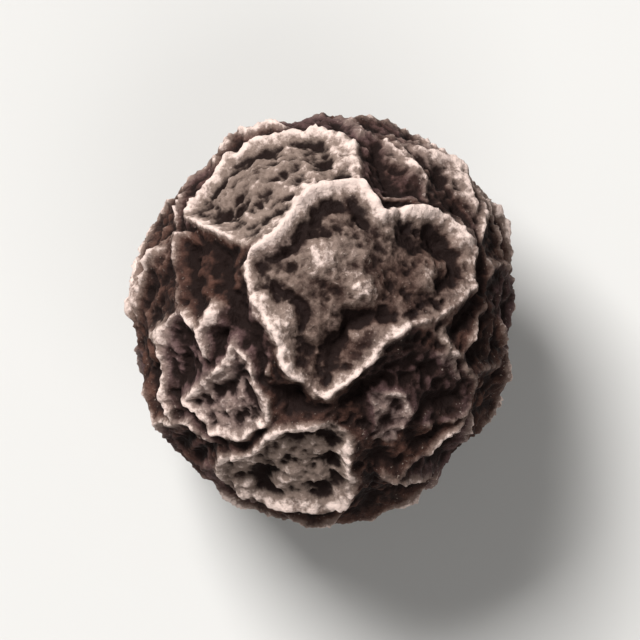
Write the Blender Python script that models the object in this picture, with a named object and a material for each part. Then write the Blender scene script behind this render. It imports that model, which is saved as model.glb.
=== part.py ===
"""A black peppercorn: one whole pepper fruit, dried until its skin shrank into a raised net of ridges.

It stands on the small flat scar at its base, the way it sat on its spike, with its tip up (+Z). The
origin is the middle of the space it takes up, at the height of that scar. Places on the skin are
given as seen from straight above, in millimetres from the middle.
"""

import math
import random

import bmesh
import bpy
import numpy as np
from mathutils import Vector, noise

MM = 0.001

# Overall sizes, ridges included. The flat cut is what the scar takes off the round base.
WIDTH = 5.0 * MM
LENGTH = 5.3 * MM
HEIGHT = 4.9 * MM
FLAT_CUT = 0.13 * MM
RADIUS = (WIDTH + LENGTH) / 4

# Smooth noise is given as swings: how much, how many swells across the radius, and which stretch of it.
# The round body under the ridges has low lumps, and it is drawn out a little towards its base.
LUMPS = [(0.15 * MM, 1.1, 3.7)]
FULL_LUMPS = math.radians(60)
BASE_POINT = 0.14 * MM
BASE_POINT_WIDTH = math.radians(26)
SMOOTH_BASE = math.radians(15)
FULL_RELIEF = math.radians(30)

# The plates of skin seen from above, each with the level of its skin, the strength of the ridge that
# is its rim, and the corners of that rim. The first is the ring, the highest ridge, round the tip.
SEEN_PLATES = [
    (0.05 * MM, 1.35, [(-0.98, 0.70), (-0.42, 1.22), (-0.12, 1.56), (0.44, 1.62), (0.76, 1.28),
                       (1.50, 1.28), (1.88, 0.86), (1.86, 0.40), (1.46, 0.04), (1.08, -0.08),
                       (0.50, -0.60), (0.02, -1.00), (-0.38, -0.70), (-0.66, -0.08), (-0.92, 0.30)]),
    (0.04 * MM, 0.70, [(-1.02, 0.90), (-1.86, 1.36), (-1.50, 1.88), (-1.04, 2.24), (0.14, 2.38),
                       (0.38, 2.10), (0.44, 1.62), (-0.12, 1.56), (-0.42, 1.22)]),
    (0.05 * MM, 0.75, [(-1.80, -1.04), (-1.16, -0.32), (-0.94, -0.60), (-0.74, -1.06), (-0.74, -1.36),
                       (-1.48, -1.46)]),
    (0.03 * MM, 0.80, [(-1.36, -1.78), (-0.60, -1.44), (0.10, -1.34), (0.40, -1.62), (0.42, -2.10),
                        (0.26, -2.38), (-0.80, -2.38), (-1.32, -2.14)]),
    (-0.02 * MM, 0.50, [(0.58, -0.98), (1.04, -0.98), (1.14, -1.24), (0.90, -1.66), (0.62, -1.60)]),
]

# Ridges seen from above that close no plate: their strength and the places that they pass.
SEEN_RIDGES = [
    (0.55, [(0.98, 2.22), (1.16, 1.90), (1.38, 1.42)]),
    (0.65, [(1.36, 2.16), (1.62, 1.96), (1.76, 1.70), (1.88, 1.36)]),
    (0.60, [(0.70, 2.36), (1.36, 2.16), (1.84, 1.66), (2.14, 1.26), (2.26, 0.84), (2.30, 0.26),
            (2.16, -0.50), (1.90, -1.10)]),
    (0.70, [(1.46, 0.04), (1.56, -0.30), (1.74, -0.74)]),
]

# The rest of the main net, whose ridges stand where two plates of skin meet. It fades out on the way
# to the rim of a seen plate. The lines of both are bent by smooth noise.
PLATES_SPREAD = 62
PLATE_JITTER = 0.17
PLATE_SEED = 5
FADE_FROM = 0.32 * MM
FADED_AT = 0.05 * MM
FAINTEST = 0.05
NET_BENDS = [(0.10, 2.1, 1.9), (0.045, 5.3, 6.4), (0.011, 12.0, 9.7)]
BEND_SEED = 8

# The cross-section of a ridge: its crest, the groove along its foot, and the level of the skin beside it.
RIDGE_HEIGHT = 0.23 * MM
RIDGE_WIDTH = 0.15 * MM
RIDGE_SHARPNESS = 1.3
BROADER_RIM = 0.8
RIDGE_STRENGTH = 0.78
RIDGE_SWINGS = [(0.75, 2.1, 8.3), (0.40, 6.5, 4.1)]
WEAKEST, STRONGEST = 0.2, 1.2
STRENGTH_BLEND = 0.05 * MM
WIDTH_SWINGS = [(0.3, 4.0, 15.1)]
GROOVE_DEPTH = 0.060 * MM
GROOVE_AT = 0.27 * MM
GROOVE_WIDTH = 0.12 * MM
GROOVE_SWINGS = [(0.9, 3.4, 17.9), (0.3, 9.8, 6.8)]
LOWEST_FLOOR = -0.11 * MM
HIGHEST_FLOOR = 0.04 * MM
FLOOR_SEED = 11
FLOOR_FROM = 0.16 * MM
FLOOR_TO = 0.55 * MM

# The second net, lower and closer, that wrinkles the plates but leaves the main crests clear.
WRINKLE_CELLS = 240
WRINKLE_JITTER = 0.09
WRINKLE_SEED = 23
WRINKLE_BENDS = [(0.07, 4.4, 5.2), (0.03, 10.0, 2.2)]
WRINKLE_HEIGHT = 0.06 * MM
WRINKLE_WIDTH = 0.085 * MM
WRINKLE_PATCHES = [(1.0, 2.6, 12.4), (0.5, 7.0, 3.3)]
PATCH_START, PATCH_FULL = -0.5, 0.4
FAINTEST_WRINKLE = 0.15
CREST_CLEAR = 0.04 * MM
WRINKLE_FULL = 0.20 * MM

# The crumpling of the whole skin, ridges and all, in sharp creases.
CRUMPLES = [(0.10 * MM, 4.3, 7.7), (0.055 * MM, 9.1, 1.3)]
CRUMPLE_MIDDLE = 0.25

# About two in five of the plates have wrinkles that run side by side like the folds of a fan.
FOLD_SHARES = [0, 0, 0, 0.6, 0.9]
FOLD_SEED = 31
FOLD_GAP = 0.34 * MM
FOLD_HEIGHT = 0.09 * MM
FOLD_SHARPNESS = 1.5
FOLD_BENDS = [(0.5, 3.0, 21.0)]
FOLD_CLEAR = 0.06 * MM
FOLD_FULL = 0.26 * MM

# Swellings and dents that stand by themselves: place, radius and height.
SWELLINGS = [
    ((1.74, 1.74), 1.10 * MM, 0.20 * MM),
    ((-0.08, 0.74), 0.26 * MM, 0.20 * MM), ((0.34, 0.78), 0.36 * MM, 0.12 * MM),
    ((0.46, 0.38), 0.24 * MM, 0.18 * MM), ((1.36, 0.48), 0.26 * MM, 0.13 * MM),
    ((1.50, 0.44), 0.09 * MM, -0.05 * MM), ((-2.16, -0.18), 0.20 * MM, 0.12 * MM),
    ((-1.46, 0.16), 0.24 * MM, 0.08 * MM), ((1.08, 1.04), 0.19 * MM, -0.12 * MM),
    ((1.50, 0.96), 0.19 * MM, -0.12 * MM), ((0.10, -0.34), 0.22 * MM, -0.10 * MM),
    ((0.42, -0.08), 0.20 * MM, -0.08 * MM), ((-1.36, 0.70), 0.26 * MM, -0.14 * MM),
    ((-1.18, 0.20), 0.18 * MM, -0.10 * MM), ((-0.46, -1.02), 0.18 * MM, -0.14 * MM),
    ((0.46, -1.00), 0.18 * MM, -0.14 * MM), ((0.90, 1.62), 0.22 * MM, -0.14 * MM),
    ((1.50, 1.80), 0.15 * MM, -0.10 * MM), ((1.70, 1.42), 0.13 * MM, -0.10 * MM),
    ((0.10, -1.94), 0.16 * MM, -0.15 * MM), ((-0.86, -2.10), 0.19 * MM, -0.12 * MM),
    ((-0.52, -1.94), 0.12 * MM, -0.07 * MM), ((-2.22, -0.58), 0.17 * MM, -0.12 * MM),
    ((-1.02, 0.74), 0.11 * MM, -0.09 * MM), ((1.14, 1.30), 0.30 * MM, -0.07 * MM),
]

# The ball that the formula is laid on, its points rounded to a tenth of a micrometre, and how many
# triangles are kept where it bends most.
FINE_CUTS = 47
ROUNDED_TO = 7
TRIANGLES_KEPT = 11800

SKIN_COLOUR = (0.075, 0.047, 0.033, 1.0)
SKIN_ROUGHNESS = 0.72


def unit(vectors):
    return vectors / np.linalg.norm(vectors, axis=-1, keepdims=True)


def upward(place):
    """The direction from the middle to the skin seen at this place from straight above."""
    x, y = place[0] * MM / WIDTH * 2, place[1] * MM / LENGTH * 2
    return unit(np.array([x * WIDTH, y * LENGTH, math.sqrt(1 - x * x - y * y) * HEIGHT]))


def eased(values, start, end):
    """0 up to start, 1 from end on, and a smooth step between."""
    share = np.clip((values - start) / (end - start), 0, 1)
    return share * share * (3 - 2 * share)


def peak(distance, width, sharpness):
    """1 on the crest, falling off to 0 over about this width."""
    return np.exp(-((np.abs(distance) / width) ** sharpness))


def swung(directions, swings):
    """Smooth noise over the ball, the sum of its swings."""
    total = np.zeros(len(directions))
    for amount, across, stretch in swings:
        away = Vector((stretch, 0, 0))
        total += amount * np.array([noise.noise(Vector(d) * across + away) for d in directions])
    return total


def creased(directions, swings):
    """Noise folded over where it passes zero, which leaves sharp creases."""
    total = np.zeros(len(directions))
    for amount, across, stretch in swings:
        away = Vector((0, 0, stretch))
        waves = np.array([noise.noise(Vector(d) * across + away) for d in directions])
        total += amount * (CRUMPLE_MIDDLE - np.abs(waves))
    return total


def bent(directions, swings):
    """The directions, each pushed a little way aside by smooth noise."""
    noise.seed_set(BEND_SEED)
    pushed = np.array(directions, dtype=float)
    for amount, across, stretch in swings:
        away = Vector((0, stretch, 0))
        pushed += amount * np.array([noise.noise_vector(Vector(d) * across + away) for d in directions])
    return unit(pushed)


def spread(count, jitter, seed):
    """Centres spread evenly over the ball along a spiral, then knocked out of place."""
    draw = random.Random(seed)
    turn = math.pi * (3 - math.sqrt(5))
    centres = []
    for step in range(count):
        z = 1 - (2 * step + 1) / count
        out = math.sqrt(1 - z * z)
        centre = [out * math.cos(turn * step), out * math.sin(turn * step), z]
        centres.append([c + draw.uniform(-jitter, jitter) for c in centre])
    return unit(np.array(centres))


def border(directions, centres):
    """For each direction its cell, and its distance from that cell's nearest border."""
    near = directions @ centres.T
    cell = near.argmax(axis=1)
    apart = np.linalg.norm(centres[:, None] - centres[None], axis=2)
    apart[np.diag_indices(len(centres))] = np.inf
    own = near[np.arange(len(cell)), cell]
    gaps = (own[:, None] - near) / apart[cell]
    gaps[np.arange(len(cell)), cell] = np.inf
    return cell, np.arcsin(np.clip(gaps.min(axis=1), 0, 1)) * RADIUS


def line_distance(directions, places, closed):
    """The distance from the line that passes these places, and whether each direction lies inside it.

    Seen from the ball's middle, an arc between two corners is a straight line on the plane above.
    """
    corners = bent(np.array([upward(place) for place in places]), NET_BENDS)
    upper = directions[:, 2] > corners[:, 2].min() / 2
    x, y = (directions[:, :2] / np.where(upper, directions[:, 2], 1)[:, None]).T
    nearest = np.full(len(directions), math.pi)
    inside = np.zeros(len(directions), dtype=bool)
    starts, ends = corners[:-1], corners[1:]
    if closed:
        starts, ends = corners, np.roll(corners, -1, axis=0)
    for start, end in zip(starts, ends):
        along = unit(np.cross(np.cross(start, end), start))
        length = math.atan2(np.dot(end, along), np.dot(end, start))
        turned = np.clip(np.arctan2(directions @ along, directions @ start), 0, length)
        foot = np.cos(turned)[:, None] * start + np.sin(turned)[:, None] * along
        nearest = np.minimum(nearest, np.arccos(np.clip((directions * foot).sum(axis=1), -1, 1)))
        x0, y0 = start[:2] / start[2]
        x1, y1 = end[:2] / end[2]
        inside ^= ((y0 > y) != (y1 > y)) & (x < x0 + (x1 - x0) * (y - y0) / (y1 - y0))
    return nearest * RADIUS, inside & upper & closed


def from_base(directions):
    return np.arccos(np.clip(-directions[:, 2], -1, 1))


def body_radius(directions):
    """The round body under the ridges."""
    half = np.array([WIDTH, LENGTH, HEIGHT + FLAT_CUT]) / 2 - RIDGE_HEIGHT
    ball = 1 / np.linalg.norm(directions / half, axis=1)
    lumps = swung(directions, LUMPS) * eased(from_base(directions), 0, FULL_LUMPS)
    return ball + lumps + BASE_POINT * peak(from_base(directions), BASE_POINT_WIDTH, 2)


def net_height(directions):
    """The main net, with the plate and the distance from the nearest line for each direction."""
    on_net = bent(directions, NET_BENDS)
    middles = spread(PLATES_SPREAD, PLATE_JITTER, PLATE_SEED)
    plate, edge = border(on_net, middles)
    draw = random.Random(FLOOR_SEED)
    floors = [draw.uniform(LOWEST_FLOOR, HIGHEST_FLOOR) for _ in middles]
    floors = np.array(floors + [level for level, _, _ in SEEN_PLATES])
    swing = np.clip(RIDGE_STRENGTH + swung(directions, RIDGE_SWINGS), WEAKEST, STRONGEST)
    width = RIDGE_WIDTH * (1 + swung(directions, WIDTH_SWINGS))
    near, outside = np.full((2, len(directions)), RADIUS)
    crest, share, strength = np.zeros((3, len(directions)))
    lines = [(rim, places, True) for _, rim, places in SEEN_PLATES]
    lines += [(rim, places, False) for rim, places in SEEN_RIDGES]
    for number, (rim, places, closed) in enumerate(lines):
        away, inside = line_distance(on_net, places, closed)
        here = rim * (1 + swing / RIDGE_STRENGTH) / 2
        broad = width * (1 + BROADER_RIM * (rim - RIDGE_STRENGTH))
        crest = np.maximum(crest, here * peak(away, broad, RIDGE_SHARPNESS))
        close = peak(away, STRENGTH_BLEND, 1)
        share, strength = share + close, strength + close * here
        near = np.minimum(near, away)
        if closed:
            plate[inside] = len(middles) + number
            outside = np.minimum(outside, np.where(inside, 0, away))
    free = eased(outside, FADED_AT, FADE_FROM)
    edge = np.where(free > 0, edge / np.maximum(free, FAINTEST), RADIUS)
    crest = np.maximum(crest, swing * free * peak(edge, width, RIDGE_SHARPNESS))
    close = free * peak(edge, STRENGTH_BLEND, 1)
    strength = (strength + close * swing) / (share + close)
    edge = np.minimum(edge, near)
    sway = 1 + swung(directions, GROOVE_SWINGS)
    groove = GROOVE_DEPTH * sway * strength * peak(edge - GROOVE_AT * sway, GROOVE_WIDTH, 2)
    floor = floors[plate] * eased(edge, FLOOR_FROM, FLOOR_TO)
    return RIDGE_HEIGHT * crest - groove + floor, edge, plate


def wrinkle_height(directions, edge):
    """The second net, strong in some places and nearly lost in others."""
    centres = spread(WRINKLE_CELLS, WRINKLE_JITTER, WRINKLE_SEED)
    _, fine_edge = border(bent(directions, WRINKLE_BENDS), centres)
    patches = eased(swung(directions, WRINKLE_PATCHES), PATCH_START, PATCH_FULL)
    strength = FAINTEST_WRINKLE + (1 - FAINTEST_WRINKLE) * patches
    wrinkle = WRINKLE_HEIGHT * strength * peak(fine_edge, WRINKLE_WIDTH, RIDGE_SHARPNESS)
    return wrinkle * eased(edge, CREST_CLEAR, WRINKLE_FULL)


def fold_height(directions, edge, plate):
    """The side-by-side folds, each plate's at its own slant."""
    draw = random.Random(FOLD_SEED)
    bending = swung(directions, FOLD_BENDS)
    folds = np.zeros(len(directions))
    for number in range(PLATES_SPREAD):
        lean = draw.uniform(0, math.pi)
        share = draw.choice(FOLD_SHARES)
        here = plate == number
        if not here.any():
            continue
        middle = unit(directions[here].mean(axis=0))
        side = unit(np.cross([0, 0, 1], middle))
        slant = math.cos(lean) * side + math.sin(lean) * np.cross(middle, side)
        phase = (directions[here] @ slant * RADIUS / FOLD_GAP + bending[here]) * 2 * math.pi
        folds[here] = share * (0.5 + 0.5 * np.cos(phase)) ** FOLD_SHARPNESS
    return FOLD_HEIGHT * folds * eased(edge, FOLD_CLEAR, FOLD_FULL)


def swelling_height(directions):
    total = np.zeros(len(directions))
    for place, radius, height in SWELLINGS:
        away = np.arccos(np.clip(directions @ upward(place), -1, 1)) * RADIUS
        total += height * peak(away, radius, 2)
    return total


def skin_points(directions):
    """Where the skin lies in each direction from the middle of the fruit."""
    net, edge, plate = net_height(directions)
    relief = net + wrinkle_height(directions, edge) + fold_height(directions, edge, plate)
    relief += creased(directions, CRUMPLES)
    relief *= eased(from_base(directions), SMOOTH_BASE, FULL_RELIEF)
    return directions * (body_radius(directions) + relief + swelling_height(directions))[:, None]


def wrinkled_ball():
    """The fine mesh: each face of an icosahedron cut into a triangular grid, laid on the formula."""
    shape = bmesh.new()
    bmesh.ops.create_icosphere(shape, subdivisions=1, radius=1.0)
    bmesh.ops.subdivide_edges(shape, edges=shape.edges[:], cuts=FINE_CUTS, use_grid_fill=True)
    directions = unit(np.array([vertex.co[:] for vertex in shape.verts]))
    for vertex, point in zip(shape.verts, skin_points(directions).round(ROUNDED_TO)):
        vertex.co = point
    mesh = bpy.data.meshes.new("fine_skin")
    shape.to_mesh(mesh)
    shape.free()
    return mesh


def thinned(peppercorn):
    """The mesh thinned where the skin is nearly flat, so that the ridges keep their shape."""
    thin = peppercorn.modifiers.new("thin", "DECIMATE")
    thin.ratio = TRIANGLES_KEPT / len(peppercorn.data.polygons)
    seen = peppercorn.evaluated_get(bpy.context.evaluated_depsgraph_get())
    mesh = bpy.data.meshes.new_from_object(seen)
    peppercorn.modifiers.remove(thin)
    return mesh


def set_on_base(mesh):
    """Brings the skin to the overall sizes and lowers it onto the scar, which cuts it level."""
    shape = bmesh.new()
    shape.from_mesh(mesh)
    points = np.array([vertex.co[:] for vertex in shape.verts])
    low, high = points.min(axis=0), points.max(axis=0)
    points = (points - (low + high) / 2) * np.array([WIDTH, LENGTH, HEIGHT + FLAT_CUT]) / (high - low)
    points[:, 2] = np.maximum(points[:, 2] + (HEIGHT - FLAT_CUT) / 2, 0)
    for vertex, point in zip(shape.verts, points):
        vertex.co = point
    scar = [face for face in shape.faces if max(vertex.co.z for vertex in face.verts) == 0]
    bmesh.ops.dissolve_faces(shape, faces=scar)
    bmesh.ops.recalc_face_normals(shape, faces=shape.faces[:])
    shape.to_mesh(mesh)
    shape.free()


def skin_material():
    material = bpy.data.materials.new("dried_pepper_skin")
    material.use_nodes = True
    shader = material.node_tree.nodes["Principled BSDF"]
    shader.inputs["Base Color"].default_value = SKIN_COLOUR
    shader.inputs["Roughness"].default_value = SKIN_ROUGHNESS
    shader.inputs["Metallic"].default_value = 0.0
    return material


for old in list(bpy.data.objects):
    bpy.data.objects.remove(old)
corn = bpy.data.objects.new("peppercorn", wrinkled_ball())
bpy.context.scene.collection.objects.link(corn)
corn.data = thinned(corn)
set_on_base(corn.data)
corn.data.shade_smooth()
corn.data.materials.append(skin_material())
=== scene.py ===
"""A black peppercorn on a pale floor, seen from straight above in soft light."""

import math
import random

import bpy
import numpy as np
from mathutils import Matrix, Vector, noise


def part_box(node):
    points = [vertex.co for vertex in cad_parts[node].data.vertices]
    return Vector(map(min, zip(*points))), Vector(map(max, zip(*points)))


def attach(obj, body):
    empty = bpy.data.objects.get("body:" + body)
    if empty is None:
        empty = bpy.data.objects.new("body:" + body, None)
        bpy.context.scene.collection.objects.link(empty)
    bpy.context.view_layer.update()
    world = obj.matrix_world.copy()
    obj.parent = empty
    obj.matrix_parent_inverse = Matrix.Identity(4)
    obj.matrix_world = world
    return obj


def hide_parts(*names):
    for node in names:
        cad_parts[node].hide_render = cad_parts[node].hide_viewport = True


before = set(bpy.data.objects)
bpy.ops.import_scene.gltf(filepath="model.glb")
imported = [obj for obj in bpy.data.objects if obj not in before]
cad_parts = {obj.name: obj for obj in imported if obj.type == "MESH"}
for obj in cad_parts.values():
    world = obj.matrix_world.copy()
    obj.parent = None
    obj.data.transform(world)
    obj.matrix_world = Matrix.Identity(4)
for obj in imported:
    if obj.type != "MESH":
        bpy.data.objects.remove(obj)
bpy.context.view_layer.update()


# The peppercorn is a pepper fruit picked green and dried in the sun. Its thin flesh shrank onto the
# hard seed, so that the skin stands up in a net of ridges: one closed ring at the tip, and plates
# of skin round it that meet in the other ridges. It grew and dried as one piece.
MM = 0.001
WIDTH, LENGTH, HEIGHT = (high - low for low, high in zip(*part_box("peppercorn")))
FLAT_CUT = 0.13 * MM
RADIUS = (WIDTH + LENGTH) / 4

# Smooth noise is given as swings: how much, how many swells across the radius, and which stretch of it.
# The round body under the ridges has low lumps, and it is drawn out a little towards its base.
LUMPS = [(0.15 * MM, 1.1, 3.7)]
FULL_LUMPS = math.radians(60)
BASE_POINT = 0.14 * MM
BASE_POINT_WIDTH = math.radians(26)
SMOOTH_BASE = math.radians(15)
FULL_RELIEF = math.radians(30)

# The plates seen from above, each with the level of its skin, the strength of its rim and the corners
# of that rim in millimetres from the middle. The first is the ring, the highest ridge, at the tip.
SEEN_PLATES = [
    (0.05 * MM, 1.35, [(-0.98, 0.70), (-0.42, 1.22), (-0.12, 1.56), (0.44, 1.62), (0.76, 1.28),
                       (1.50, 1.28), (1.88, 0.86), (1.86, 0.40), (1.46, 0.04), (1.08, -0.08),
                       (0.50, -0.60), (0.02, -1.00), (-0.38, -0.70), (-0.66, -0.08), (-0.92, 0.30)]),
    (0.04 * MM, 0.70, [(-1.02, 0.90), (-1.86, 1.36), (-1.50, 1.88), (-1.04, 2.24), (0.14, 2.38),
                       (0.38, 2.10), (0.44, 1.62), (-0.12, 1.56), (-0.42, 1.22)]),
    (0.05 * MM, 0.75, [(-1.80, -1.04), (-1.16, -0.32), (-0.94, -0.60), (-0.74, -1.06), (-0.74, -1.36),
                       (-1.48, -1.46)]),
    (0.03 * MM, 0.80, [(-1.36, -1.78), (-0.60, -1.44), (0.10, -1.34), (0.40, -1.62), (0.42, -2.10),
                       (0.26, -2.38), (-0.80, -2.38), (-1.32, -2.14)]),
    (-0.02 * MM, 0.50, [(0.58, -0.98), (1.04, -0.98), (1.14, -1.24), (0.90, -1.66), (0.62, -1.60)]),
]

# Ridges seen from above that close no plate: their strength and the places that they pass.
SEEN_RIDGES = [
    (0.55, [(0.98, 2.22), (1.16, 1.90), (1.38, 1.42)]),
    (0.65, [(1.36, 2.16), (1.62, 1.96), (1.76, 1.70), (1.88, 1.36)]),
    (0.60, [(0.70, 2.36), (1.36, 2.16), (1.84, 1.66), (2.14, 1.26), (2.26, 0.84), (2.30, 0.26),
            (2.16, -0.50), (1.90, -1.10)]),
    (0.70, [(1.46, 0.04), (1.56, -0.30), (1.74, -0.74)]),
]

# The rest of the main net, whose ridges stand where two plates of skin meet. It fades out on the way
# to the rim of a seen plate. The lines of both are bent by smooth noise.
PLATES_SPREAD = 62
PLATE_JITTER = 0.17
PLATE_SEED = 5
FADE_FROM = 0.32 * MM
FADED_AT = 0.05 * MM
FAINTEST = 0.05
NET_BENDS = [(0.10, 2.1, 1.9), (0.045, 5.3, 6.4), (0.011, 12.0, 9.7)]
BEND_SEED = 8

# The cross-section of a ridge: its crest, the groove along its foot, and the level of the skin beside it.
RIDGE_HEIGHT = 0.23 * MM
RIDGE_WIDTH = 0.15 * MM
RIDGE_SHARPNESS = 1.3
BROADER_RIM = 0.8
RIDGE_STRENGTH = 0.78
RIDGE_SWINGS = [(0.75, 2.1, 8.3), (0.40, 6.5, 4.1)]
WEAKEST, STRONGEST = 0.2, 1.2
STRENGTH_BLEND = 0.05 * MM
WIDTH_SWINGS = [(0.3, 4.0, 15.1)]
GROOVE_DEPTH = 0.060 * MM
GROOVE_AT = 0.27 * MM
GROOVE_WIDTH = 0.12 * MM
GROOVE_SWINGS = [(0.9, 3.4, 17.9), (0.3, 9.8, 6.8)]
LOWEST_FLOOR = -0.11 * MM
HIGHEST_FLOOR = 0.04 * MM
FLOOR_SEED = 11
FLOOR_FROM = 0.16 * MM
FLOOR_TO = 0.55 * MM

# The second net, lower and closer, that wrinkles the plates but leaves the main crests clear.
WRINKLE_CELLS = 240
WRINKLE_JITTER = 0.09
WRINKLE_SEED = 23
WRINKLE_BENDS = [(0.07, 4.4, 5.2), (0.03, 10.0, 2.2)]
WRINKLE_HEIGHT = 0.06 * MM
WRINKLE_WIDTH = 0.085 * MM
WRINKLE_PATCHES = [(1.0, 2.6, 12.4), (0.5, 7.0, 3.3)]
PATCH_START, PATCH_FULL = -0.5, 0.4
FAINTEST_WRINKLE = 0.15
CREST_CLEAR = 0.04 * MM
WRINKLE_FULL = 0.20 * MM

# The crumpling of the whole skin, ridges and all, in sharp creases.
CRUMPLES = [(0.10 * MM, 4.3, 7.7), (0.055 * MM, 9.1, 1.3)]
CRUMPLE_MIDDLE = 0.25

# About two in five of the plates have wrinkles that run side by side like the folds of a fan.
FOLD_SHARES = [0, 0, 0, 0.6, 0.9]
FOLD_SEED = 31
FOLD_GAP = 0.34 * MM
FOLD_HEIGHT = 0.09 * MM
FOLD_SHARPNESS = 1.5
FOLD_BENDS = [(0.5, 3.0, 21.0)]
FOLD_CLEAR = 0.06 * MM
FOLD_FULL = 0.26 * MM

# Swellings and dents that stand by themselves: place, in millimetres from the middle, radius and height.
SWELLINGS = [
    ((1.74, 1.74), 1.10 * MM, 0.20 * MM),
    ((-0.08, 0.74), 0.26 * MM, 0.20 * MM), ((0.34, 0.78), 0.36 * MM, 0.12 * MM),
    ((0.46, 0.38), 0.24 * MM, 0.18 * MM), ((1.36, 0.48), 0.26 * MM, 0.13 * MM),
    ((1.50, 0.44), 0.09 * MM, -0.05 * MM), ((-2.16, -0.18), 0.20 * MM, 0.12 * MM),
    ((-1.46, 0.16), 0.24 * MM, 0.08 * MM), ((1.08, 1.04), 0.19 * MM, -0.12 * MM),
    ((1.50, 0.96), 0.19 * MM, -0.12 * MM), ((0.10, -0.34), 0.22 * MM, -0.10 * MM),
    ((0.42, -0.08), 0.20 * MM, -0.08 * MM), ((-1.36, 0.70), 0.26 * MM, -0.14 * MM),
    ((-1.18, 0.20), 0.18 * MM, -0.10 * MM), ((-0.46, -1.02), 0.18 * MM, -0.14 * MM),
    ((0.46, -1.00), 0.18 * MM, -0.14 * MM), ((0.90, 1.62), 0.22 * MM, -0.14 * MM),
    ((1.50, 1.80), 0.15 * MM, -0.10 * MM), ((1.70, 1.42), 0.13 * MM, -0.10 * MM),
    ((0.10, -1.94), 0.16 * MM, -0.15 * MM), ((-0.86, -2.10), 0.19 * MM, -0.12 * MM),
    ((-0.52, -1.94), 0.12 * MM, -0.07 * MM), ((-2.22, -0.58), 0.17 * MM, -0.12 * MM),
    ((-1.02, 0.74), 0.11 * MM, -0.09 * MM), ((1.14, 1.30), 0.30 * MM, -0.07 * MM),
]

# The finest relief: creases closer than the others, pits on two of the seen plates, and grain. A pit's
# width is a share of the gap between pits.
FINE_CRUMPLES = [(0.075 * MM, 17.7, 5.9), (0.038 * MM, 35.0, 3.1)]
PITTED_PLATES = [1, 3]
PIT_GAP = 0.42 * MM
PIT_DEPTH = 0.06 * MM
PIT_WIDTH = 0.42
PIT_SHARPNESS = 3
GRAIN = [(0.016 * MM, 22.0, 2.9), (0.008 * MM, 47.0, 6.1)]

# The scar is a ragged round spot, a little sunken in its middle, so that its rim is what stands. Its
# colour starts outside that rim and is at its full in the hollow.
SCAR_RADIUS = 0.46 * MM
SCAR_HOLLOW = 0.05 * MM
DEEPEST_AT = 0.3 * SCAR_RADIUS
SCAR_STARTS = 1.3 * SCAR_RADIUS
SCAR_FULL = 0.7 * SCAR_RADIUS
SCAR_SWINGS = [(0.22, 5.0, 4.7), (0.12, 16.0, 9.3)]

# How light and mauve each plate of skin is: the seen ones in their order, the others by chance and
# darker, partly the skin's own dark colour and partly painted shade. The borders between them are evened
# out in rounds, and the lower right side is painted darker still, as painted shade away from the key lamp.
SEEN_TONES = [0.60, 1.05, 1.10, 1.22, 1.35]
SEEN_MAUVES = [0.4, 0.0, 1.0, 0.1, 1.0]
DARKEST_TONE, LIGHTEST_TONE = 0.00, 0.42
TONE_SEED = 3
TONE_ROUNDS = 12
PAINTED_SHADE_SIDE = (0.75, -0.6, 0.15)
PAINTED_SHADE_STRENGTH = 0.36

# Light spots on the spur of the ring, on two swellings and on the folds beside the ring: place, radius
# and how much lighter.
LIGHT_SPOTS = [
    ((1.54, -0.20), 0.24 * MM, 0.75), ((1.68, -0.56), 0.24 * MM, 0.75), ((-2.16, -0.18), 0.20 * MM, 0.60),
    ((-1.46, 0.16), 0.20 * MM, 0.35), ((0.96, 2.10), 0.28 * MM, 0.45), ((1.46, 2.02), 0.28 * MM, 0.50),
    ((1.72, 1.66), 0.22 * MM, 0.40),
]

# How proud a point stands is its height above the evened-out skin round it, as a share of about the
# whole range of heights there: once for the skin close by, and once for a wider stretch. A swelling
# counts in full from the last height on.
CLOSE_ROUNDS, CLOSE_RANGE = 40, 0.12 * MM
WIDE_ROUNDS, WIDE_RANGE = 500, 0.40 * MM
HIGHEST_SWELL = 0.28 * MM

# The cuts in each edge of the icosahedron that the skin starts from, and how many points are worked
# on at a time.
CUTS = 98
BLOCK = 20000


def unit(vectors):
    return vectors / np.linalg.norm(vectors, axis=-1, keepdims=True)


def upward(place):
    """The direction from the middle to the skin seen at this place from straight above."""
    x, y = place[0] * MM / WIDTH * 2, place[1] * MM / LENGTH * 2
    return unit(np.array([x * WIDTH, y * LENGTH, math.sqrt(1 - x * x - y * y) * HEIGHT]))


def eased(values, start, end):
    """0 up to start, 1 from end on, and a smooth step between."""
    share = np.clip((values - start) / (end - start), 0, 1)
    return share * share * (3 - 2 * share)


def peak(distance, width, sharpness):
    """1 on the crest, falling off to 0 over about this width."""
    return np.exp(-((np.abs(distance) / width) ** sharpness))


def swung(directions, swings):
    """Smooth noise over the ball, the sum of its swings."""
    total = np.zeros(len(directions))
    for amount, across, stretch in swings:
        away = Vector((stretch, 0, 0))
        total += amount * np.array([noise.noise(Vector(d) * across + away) for d in directions])
    return total


def creased(directions, swings):
    """Noise folded over where it passes zero, which leaves sharp creases."""
    total = np.zeros(len(directions))
    for amount, across, stretch in swings:
        away = Vector((0, 0, stretch))
        waves = np.array([noise.noise(Vector(d) * across + away) for d in directions])
        total += amount * (CRUMPLE_MIDDLE - np.abs(waves))
    return total


def bent(directions, swings):
    """The directions, each pushed a little way aside by smooth noise."""
    noise.seed_set(BEND_SEED)
    pushed = np.array(directions, dtype=float)
    for amount, across, stretch in swings:
        away = Vector((0, stretch, 0))
        pushed += amount * np.array([noise.noise_vector(Vector(d) * across + away) for d in directions])
    return unit(pushed)


def spread(count, jitter, seed):
    """Centres spread evenly over the ball along a spiral, then knocked out of place."""
    draw = random.Random(seed)
    turn = math.pi * (3 - math.sqrt(5))
    centres = []
    for step in range(count):
        z = 1 - (2 * step + 1) / count
        out = math.sqrt(1 - z * z)
        centre = [out * math.cos(turn * step), out * math.sin(turn * step), z]
        centres.append([c + draw.uniform(-jitter, jitter) for c in centre])
    return unit(np.array(centres))


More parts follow.
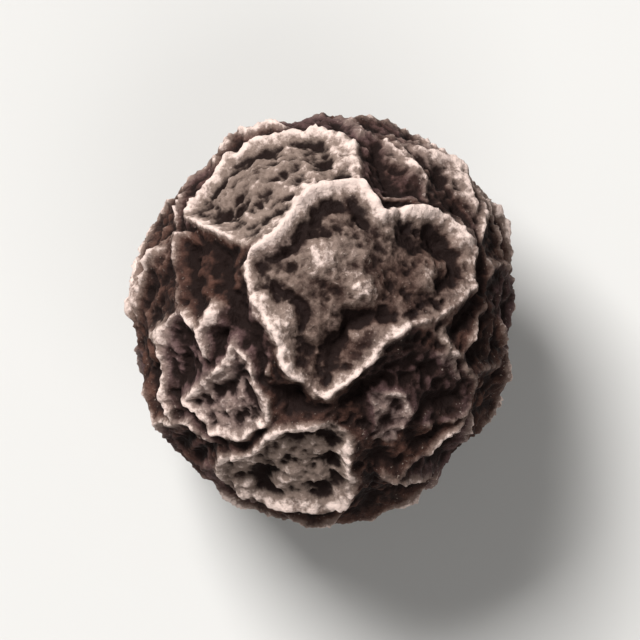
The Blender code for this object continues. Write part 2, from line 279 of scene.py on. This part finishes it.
def border(directions, centres):
    """For each direction its cell, and its distance from that cell's nearest border."""
    apart = np.linalg.norm(centres[:, None] - centres[None], axis=2)
    apart[np.diag_indices(len(centres))] = np.inf
    cells, edges = [], []
    for start in range(0, len(directions), BLOCK):
        near = directions[start:start + BLOCK] @ centres.T
        cell = near.argmax(axis=1)
        own = near[np.arange(len(cell)), cell]
        gaps = (own[:, None] - near) / apart[cell]
        gaps[np.arange(len(cell)), cell] = np.inf
        cells.append(cell)
        edges.append(np.arcsin(np.clip(gaps.min(axis=1), 0, 1)) * RADIUS)
    return np.concatenate(cells), np.concatenate(edges)


def line_distance(directions, places, closed):
    """The distance from a line that passes these places, and whether each direction lies inside it.

    Seen from the ball's middle, an arc between two corners is a straight line on the plane above.
    """
    corners = bent(np.array([upward(place) for place in places]), NET_BENDS)
    upper = directions[:, 2] > corners[:, 2].min() / 2
    x, y = (directions[:, :2] / np.where(upper, directions[:, 2], 1)[:, None]).T
    nearest = np.full(len(directions), math.pi)
    inside = np.zeros(len(directions), dtype=bool)
    starts, ends = corners[:-1], corners[1:]
    if closed:
        starts, ends = corners, np.roll(corners, -1, axis=0)
    for start, end in zip(starts, ends):
        along = unit(np.cross(np.cross(start, end), start))
        length = math.atan2(np.dot(end, along), np.dot(end, start))
        turned = np.clip(np.arctan2(directions @ along, directions @ start), 0, length)
        foot = np.cos(turned)[:, None] * start + np.sin(turned)[:, None] * along
        nearest = np.minimum(nearest, np.arccos(np.clip((directions * foot).sum(axis=1), -1, 1)))
        x0, y0 = start[:2] / start[2]
        x1, y1 = end[:2] / end[2]
        inside ^= ((y0 > y) != (y1 > y)) & (x < x0 + (x1 - x0) * (y - y0) / (y1 - y0))
    return nearest * RADIUS, inside & upper & closed


def from_base(directions):
    """The angle between each direction and straight down."""
    return np.arccos(np.clip(-directions[:, 2], -1, 1))


def body_radius(directions):
    """The round body under the ridges."""
    half = np.array([WIDTH, LENGTH, HEIGHT + FLAT_CUT]) / 2 - RIDGE_HEIGHT
    ball = 1 / np.linalg.norm(directions / half, axis=1)
    lumps = swung(directions, LUMPS) * eased(from_base(directions), 0, FULL_LUMPS)
    return ball + lumps + BASE_POINT * peak(from_base(directions), BASE_POINT_WIDTH, 2)


def net_height(directions):
    """The main net, with its crest, the plate and the distance from the nearest line for each direction."""
    on_net = bent(directions, NET_BENDS)
    middles = spread(PLATES_SPREAD, PLATE_JITTER, PLATE_SEED)
    plate, edge = border(on_net, middles)
    draw = random.Random(FLOOR_SEED)
    floors = [draw.uniform(LOWEST_FLOOR, HIGHEST_FLOOR) for _ in middles]
    floors = np.array(floors + [level for level, _, _ in SEEN_PLATES])
    swing = np.clip(RIDGE_STRENGTH + swung(directions, RIDGE_SWINGS), WEAKEST, STRONGEST)
    width = RIDGE_WIDTH * (1 + swung(directions, WIDTH_SWINGS))
    near, outside = np.full((2, len(directions)), RADIUS)
    crest, share, strength = np.zeros((3, len(directions)))
    lines = [(rim, places, True) for _, rim, places in SEEN_PLATES]
    lines += [(rim, places, False) for rim, places in SEEN_RIDGES]
    for number, (rim, places, closed) in enumerate(lines):
        away, inside = line_distance(on_net, places, closed)
        here = rim * (1 + swing / RIDGE_STRENGTH) / 2
        broad = width * (1 + BROADER_RIM * (rim - RIDGE_STRENGTH))
        crest = np.maximum(crest, here * peak(away, broad, RIDGE_SHARPNESS))
        close = peak(away, STRENGTH_BLEND, 1)
        share, strength = share + close, strength + close * here
        near = np.minimum(near, away)
        if closed:
            plate[inside] = len(middles) + number
            outside = np.minimum(outside, np.where(inside, 0, away))
    free = eased(outside, FADED_AT, FADE_FROM)
    edge = np.where(free > 0, edge / np.maximum(free, FAINTEST), RADIUS)
    crest = np.maximum(crest, swing * free * peak(edge, width, RIDGE_SHARPNESS))
    close = free * peak(edge, STRENGTH_BLEND, 1)
    strength = (strength + close * swing) / (share + close)
    edge = np.minimum(edge, near)
    sway = 1 + swung(directions, GROOVE_SWINGS)
    groove = GROOVE_DEPTH * sway * strength * peak(edge - GROOVE_AT * sway, GROOVE_WIDTH, 2)
    floor = floors[plate] * eased(edge, FLOOR_FROM, FLOOR_TO)
    return RIDGE_HEIGHT * crest - groove + floor, crest, edge, plate


def wrinkle_height(directions, edge):
    """The second net, strong in some places and nearly lost in others."""
    centres = spread(WRINKLE_CELLS, WRINKLE_JITTER, WRINKLE_SEED)
    _, fine_edge = border(bent(directions, WRINKLE_BENDS), centres)
    patches = eased(swung(directions, WRINKLE_PATCHES), PATCH_START, PATCH_FULL)
    strength = FAINTEST_WRINKLE + (1 - FAINTEST_WRINKLE) * patches
    wrinkle = WRINKLE_HEIGHT * strength * peak(fine_edge, WRINKLE_WIDTH, RIDGE_SHARPNESS)
    return wrinkle * eased(edge, CREST_CLEAR, WRINKLE_FULL)


def fold_height(directions, edge, plate):
    """The side-by-side folds, each plate's at its own slant."""
    draw = random.Random(FOLD_SEED)
    bending = swung(directions, FOLD_BENDS)
    folds = np.zeros(len(directions))
    for number in range(PLATES_SPREAD):
        lean = draw.uniform(0, math.pi)
        share = draw.choice(FOLD_SHARES)
        here = plate == number
        if not here.any():
            continue
        middle = unit(directions[here].mean(axis=0))
        side = unit(np.cross([0, 0, 1], middle))
        slant = math.cos(lean) * side + math.sin(lean) * np.cross(middle, side)
        phase = (directions[here] @ slant * RADIUS / FOLD_GAP + bending[here]) * 2 * math.pi
        folds[here] = share * (0.5 + 0.5 * np.cos(phase)) ** FOLD_SHARPNESS
    return FOLD_HEIGHT * folds * eased(edge, FOLD_CLEAR, FOLD_FULL)


def round_spots(directions, spots):
    """Soft round spots, each of its own radius and height, added together."""
    total = np.zeros(len(directions))
    for place, radius, height in spots:
        away = np.arccos(np.clip(directions @ upward(place), -1, 1)) * RADIUS
        total += height * peak(away, radius, 2)
    return total


def pit_depth(directions, edge, plate):
    """Small round pits, in a loose even pattern, on some of the plates."""
    away = np.array([noise.voronoi(Vector(d) * (RADIUS / PIT_GAP))[0][0] for d in directions])
    pits = PIT_DEPTH * peak(away, PIT_WIDTH, PIT_SHARPNESS)
    pits *= np.isin(plate - PLATES_SPREAD, PITTED_PLATES)
    return pits * eased(edge, CREST_CLEAR, WRINKLE_FULL)


def evened(mesh, values, rounds):
    """The values, each mixed with its neighbours' this many times."""
    ends = np.empty(len(mesh.edges) * 2, dtype=np.int64)
    mesh.edges.foreach_get("vertices", ends)
    first, second = ends.reshape(-1, 2).T
    count = np.bincount(first, minlength=len(values)) + np.bincount(second, minlength=len(values))
    for _ in range(rounds):
        total = np.bincount(first, values[second], len(values))
        total += np.bincount(second, values[first], len(values))
        values = (values + total / count) / 2
    return values


def note(mesh, name, values):
    """Keeps a number for each point of the skin, for the skin's colours to follow."""
    mesh.attributes.new(name, "FLOAT", "POINT").data.foreach_set("value", values)


# The skin starts as a ball cut into a fine triangular grid, and each of its points is then moved out
# to where the formula puts the skin in that direction.
bpy.ops.object.select_all(action="DESELECT")
bpy.ops.mesh.primitive_ico_sphere_add(subdivisions=1, radius=RADIUS)
peppercorn = bpy.context.object
peppercorn.name = peppercorn.data.name = "peppercorn_skin"
bpy.ops.object.mode_set(mode="EDIT")
bpy.ops.mesh.select_all(action="SELECT")
bpy.ops.mesh.subdivide(number_cuts=CUTS)
bpy.ops.object.mode_set(mode="OBJECT")
skin = peppercorn.data

directions = np.empty(len(skin.vertices) * 3)
skin.vertices.foreach_get("co", directions)
directions = unit(directions.reshape(-1, 3))
net, crest, edge, plate = net_height(directions)
relief = net + wrinkle_height(directions, edge) + fold_height(directions, edge, plate)
relief += creased(directions, CRUMPLES)
kept = eased(from_base(directions), SMOOTH_BASE, FULL_RELIEF)
swelling = round_spots(directions, SWELLINGS)
relief = relief * kept + swelling
finest = creased(directions, FINE_CRUMPLES) - pit_depth(directions, edge, plate) + swung(directions, GRAIN)
fine = relief + (finest - finest.mean()) * kept

# The skin fills its box and stands on the scar, which is cut level. The box is fitted round the relief
# without the finest, and what then sticks out of it is pressed back in.
coarse = directions * (body_radius(directions) + relief)[:, None]
points = directions * (body_radius(directions) + fine)[:, None]
low, high = coarse.min(axis=0), coarse.max(axis=0)
points = (points - (low + high) / 2) * np.array([WIDTH, LENGTH, HEIGHT + FLAT_CUT]) / (high - low)
points[:, 2] += (HEIGHT - FLAT_CUT) / 2
in_scar = points[:, 2] < 0
points = np.clip(points, [-WIDTH / 2, -LENGTH / 2, 0], [WIDTH / 2, LENGTH / 2, HEIGHT])
points[:, 2] *= HEIGHT / points[:, 2].max()
ragged = 1 + swung(directions, SCAR_SWINGS)
from_scar = np.hypot(points[:, 0], points[:, 1]) * ragged + points[:, 2]
sunken = SCAR_HOLLOW * ragged * (1 - eased(from_scar, DEEPEST_AT, SCAR_RADIUS))
points[in_scar, 2] = sunken[in_scar]
skin.vertices.foreach_set("co", points.ravel())

# What the colours follow: how near each point is to a main crest, how far it stands above the skin
# close by and further off, whether it swells, how light and mauve its plate is, with painted shade on
# one side, and whether it is scar.
note(skin, "crest", crest * kept / max(rim for _, rim, _ in SEEN_PLATES))
note(skin, "proud_close", (fine - evened(skin, fine, CLOSE_ROUNDS)) / CLOSE_RANGE)
note(skin, "proud_wide", (fine - evened(skin, fine, WIDE_ROUNDS)) / WIDE_RANGE)
note(skin, "swell", np.clip(swelling / HIGHEST_SWELL, 0, 1))
draw = random.Random(TONE_SEED)
tones = np.array([draw.uniform(DARKEST_TONE, LIGHTEST_TONE) for _ in range(PLATES_SPREAD)] + SEEN_TONES)
mauves = np.array([draw.random() for _ in range(PLATES_SPREAD)] + SEEN_MAUVES)
# Painted shade: the skin is made darker towards the lower right, the side away from the key lamp.
painted_side_shade = np.clip(directions @ unit(np.array(PAINTED_SHADE_SIDE)), 0, 1)
light_spots = round_spots(directions, LIGHT_SPOTS)
note(skin, "tone_and_painted_shade", evened(skin, tones[plate], TONE_ROUNDS) - PAINTED_SHADE_STRENGTH * painted_side_shade + light_spots)
note(skin, "mauve", evened(skin, mauves[plate], TONE_ROUNDS))
note(skin, "scar", (1 - eased(from_scar, SCAR_FULL, SCAR_STARTS)) * (directions[:, 2] < 0))
skin.shade_smooth()
skin.update()


class Varying:
    """A number that varies over the skin, so that shader maths reads as maths."""

    def __init__(self, paint, socket):
        self.paint, self.socket = paint, socket

    def maths(self, operation, *terms):
        return self.paint.node("ShaderNodeMath", {"operation": operation}, dict(enumerate(terms)))

    def __add__(self, other):
        return self.maths("ADD", self, other)

    __radd__ = __add__

    def __sub__(self, other):
        return self.maths("SUBTRACT", self, other)

    def __rsub__(self, other):
        return self.maths("SUBTRACT", other, self)

    def __mul__(self, other):
        return self.maths("MULTIPLY", self, other)

    __rmul__ = __mul__


class Paint:
    """A material, with one way to add a node and one to mix two colours."""

    def __init__(self, name, **uniform):
        self.material = bpy.data.materials.new(name)
        self.material.use_nodes = True
        self.tree = self.material.node_tree
        self.shader = self.tree.nodes["Principled BSDF"]
        for key, value in uniform.items():
            self.shader.inputs[key.replace("_", " ")].default_value = value

    def plug(self, socket, value):
        if isinstance(value, Varying):
            self.tree.links.new(value.socket, socket)
        else:
            socket.default_value = value

    def node(self, kind, settings, sockets, out=0):
        made = self.tree.nodes.new(kind)
        for key, value in settings.items():
            setattr(made, key, value)
        for key, value in sockets.items():
            self.plug(made.inputs[key], value)
        return Varying(self, made.outputs[out])

    def mix(self, share, first, second):
        return self.node("ShaderNodeMix", {"data_type": "RGBA"}, {0: share, 6: first, 7: second}, 2)

    def noted(self, name):
        return self.node("ShaderNodeAttribute", {"attribute_name": name}, {}, "Fac")

    def clouds(self, size, detail, roughness, kind="FBM"):
        """Noise with clouds of about this size, from -0.5 to 0.5."""
        place = self.node("ShaderNodeTexCoord", {}, {}, "Object")
        sockets = {"Vector": place, "Scale": 1 / size, "Detail": detail, "Roughness": roughness}
        return self.node("ShaderNodeTexNoise", {"noise_type": kind}, sockets, "Fac") - 0.5

    def between(self, value, start, end):
        """0 up to start, 1 from end on."""
        sockets = {"Value": value, "From Min": start, "From Max": end}
        return self.node("ShaderNodeMapRange", {"interpolation_type": "SMOOTHSTEP"}, sockets)


BLACK_HOLLOW_AND_SHADE = (0.0095, 0.0038, 0.0028, 1)
DARK_SKIN = (0.023, 0.0102, 0.0076, 1)
BROWN_SKIN = (0.110, 0.049, 0.034, 1)
GREY_SKIN = (0.235, 0.172, 0.140, 1)
MAUVE_SKIN = (0.160, 0.094, 0.098, 1)
RUBBED_AND_HIGHLIT_SKIN = (0.25, 0.182, 0.150, 1)
WORN_AND_HIGHLIT_CREST = (0.74, 0.585, 0.520, 1)
SPECK = (0.52, 0.43, 0.36, 1)
SCAR_RIM = (0.040, 0.021, 0.014, 1)
BROWN_CORK = (0.060, 0.034, 0.023, 1)
PALE_CORK = (0.190, 0.118, 0.084, 1)
BUMP_HEIGHT = 0.065 * MM

paint = Paint("dried_pepper_skin", Metallic=0.0, IOR=1.42, Specular_IOR_Level=0.20)
crest = paint.noted("crest")
close = paint.noted("proud_close")
wide = paint.noted("proud_wide")
swell = paint.noted("swell")
tone_and_painted_shade = paint.noted("tone_and_painted_shade")
mauve = paint.noted("mauve")
scar = paint.noted("scar")
patches = paint.clouds(size=1.1 * MM, detail=3, roughness=0.6)
mottle = paint.clouds(size=0.24 * MM, detail=7, roughness=0.72)
flakes = paint.clouds(size=0.11 * MM, detail=5, roughness=0.65)
grain = paint.clouds(size=0.04 * MM, detail=3, roughness=0.6)
creases = paint.clouds(size=0.20 * MM, detail=4, roughness=0.55, kind="RIDGED_MULTIFRACTAL")

# The skin of a plate: brown to grey by its tone, mauve in patches, and clouded by fine dark mottling.
# It is also darker where it lies below the skin close by: partly its own colour, partly painted shade.
colour = paint.mix(paint.between(tone_and_painted_shade + patches * 0.5, 0.25, 0.75), BROWN_SKIN, GREY_SKIN)
colour = paint.mix(paint.between(mauve + patches * 1.5, 0.4, 0.9) * 0.75, colour, MAUVE_SKIN)
# The close term makes low skin darker, partly as painted shade.
light = tone_and_painted_shade * 0.38 + mottle * 2.6 + patches * 0.7 + close * 0.9
colour = paint.mix(paint.between(light, -0.3, 1.0), DARK_SKIN, colour)

# Crests, swellings and what stands highest are lighter, the more on the light plates: partly worn skin
# and partly painted highlight, which alone lights the swellings. The palest comes off in flakes.
worn_and_highlit = crest * 0.98 + swell * 0.80 + wide * 0.3 + close + (tone_and_painted_shade - 0.55) * 0.85
colour = paint.mix(paint.between(worn_and_highlit + mottle * 2.0, 0.1, 0.9) * 0.65, colour, RUBBED_AND_HIGHLIT_SKIN)
flaked_and_highlit = worn_and_highlit + flakes * 2.4 + mottle * 1.4
colour = paint.mix(paint.between(flaked_and_highlit, 0.68, 1.42) * 0.95, colour, WORN_AND_HIGHLIT_CREST)

# Brown shows along the finest creases, pale specks of grain lie on what stands proud, and the hollows
# are painted nearly black: partly the skin's own dark colour there, partly painted shade.
colour = paint.mix(paint.between(creases, 0.20, 0.45) * 0.35, colour, BROWN_SKIN)
specks = paint.between(grain, 0.13, 0.22) * paint.between(wide, -0.15, 0.1)
colour = paint.mix(specks * 0.4, colour, SPECK)
sunk_and_shaded = 0.05 - tone_and_painted_shade * 0.2 - wide * 1.3 - close - mottle * 0.5
colour = paint.mix(paint.between(sunk_and_shaded, -0.06, 0.36) * 0.97, colour, BLACK_HOLLOW_AND_SHADE)

# The scar has a dark rim round bare cork.
colour = paint.mix(paint.between(scar, 0.05, 0.40) * 0.8, colour, SCAR_RIM)
cork = paint.mix(paint.between(mottle * 0.6 + flakes * 0.4, -0.08, 0.10), BROWN_CORK, PALE_CORK)
colour = paint.mix(paint.between(scar + mottle * 0.8, 0.45, 1.05) * 0.9, colour, cork)
paint.plug(paint.shader.inputs["Base Color"], colour)

# Wear polishes the crests a little, and all of the skin is finely rough.
paint.plug(paint.shader.inputs["Roughness"], 0.86 - crest * 0.30 + grain * 0.25)
rough = flakes * 0.5 + grain * 0.3 + creases * 0.5
sockets = {"Strength": 1.0, "Distance": BUMP_HEIGHT, "Height": rough}
bump = paint.node("ShaderNodeBump", {}, sockets, "Normal")
paint.plug(paint.shader.inputs["Normal"], bump)
skin.materials.append(paint.material)

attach(peppercorn, "root")
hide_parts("peppercorn")


# The floor is a wide sheet of matt off-white paper, which is not part of the peppercorn.
OFF_WHITE = (0.60, 0.59, 0.57, 1)
bpy.ops.object.select_all(action="DESELECT")
bpy.ops.mesh.primitive_plane_add(size=0.6)
floor = bpy.context.object
floor.name = "floor"
paper = Paint("floor_paper", Roughness=0.9)
paper.plug(paper.shader.inputs["Base Color"], OFF_WHITE)
floor.data.materials.append(paper.material)


# The light is soft: a large lamp up beyond the top left corner of the picture, a weaker one beyond the
# bottom edge, and an even pale glow from all round.
def lamp(name, place, size, power):
    data = bpy.data.lights.new(name, "AREA")
    data.size = size
    data.energy = power
    light = bpy.data.objects.new(name, data)
    bpy.context.scene.collection.objects.link(light)
    light.location = place
    light.rotation_euler = (Vector((0, 0, HEIGHT / 2)) - Vector(place)).to_track_quat("-Z", "Y").to_euler()


lamp("key", place=(-0.18, 0.26, 0.37), size=0.20, power=3.9)
lamp("fill", place=(0.12, -0.30, 0.34), size=0.40, power=0.75)
glow = bpy.data.worlds.new("glow")
glow.use_nodes = True
glow.node_tree.nodes["Background"].inputs["Color"].default_value = (1, 1, 1, 1)
glow.node_tree.nodes["Background"].inputs["Strength"].default_value = 0.14
bpy.context.scene.world = glow
bpy.context.scene.view_settings.view_transform = "Standard"


# The camera looks straight down from far off through a long lens, with the top of the picture towards
# +Y. The corn's length fills about two thirds of the picture.
CAMERA_LENS = 1000
CAMERA_FILL = 0.65
SENSOR = 36
camera_data = bpy.data.cameras.new("camera")
camera_data.lens = CAMERA_LENS
camera_data.sensor_width = SENSOR
camera_data.clip_start = 1 * MM
camera = bpy.data.objects.new("camera", camera_data)
bpy.context.scene.collection.objects.link(camera)
camera.location = (0, 0, HEIGHT / 2 + LENGTH / CAMERA_FILL * CAMERA_LENS / SENSOR)
bpy.context.scene.camera = camera

bpy.context.view_layer.update()
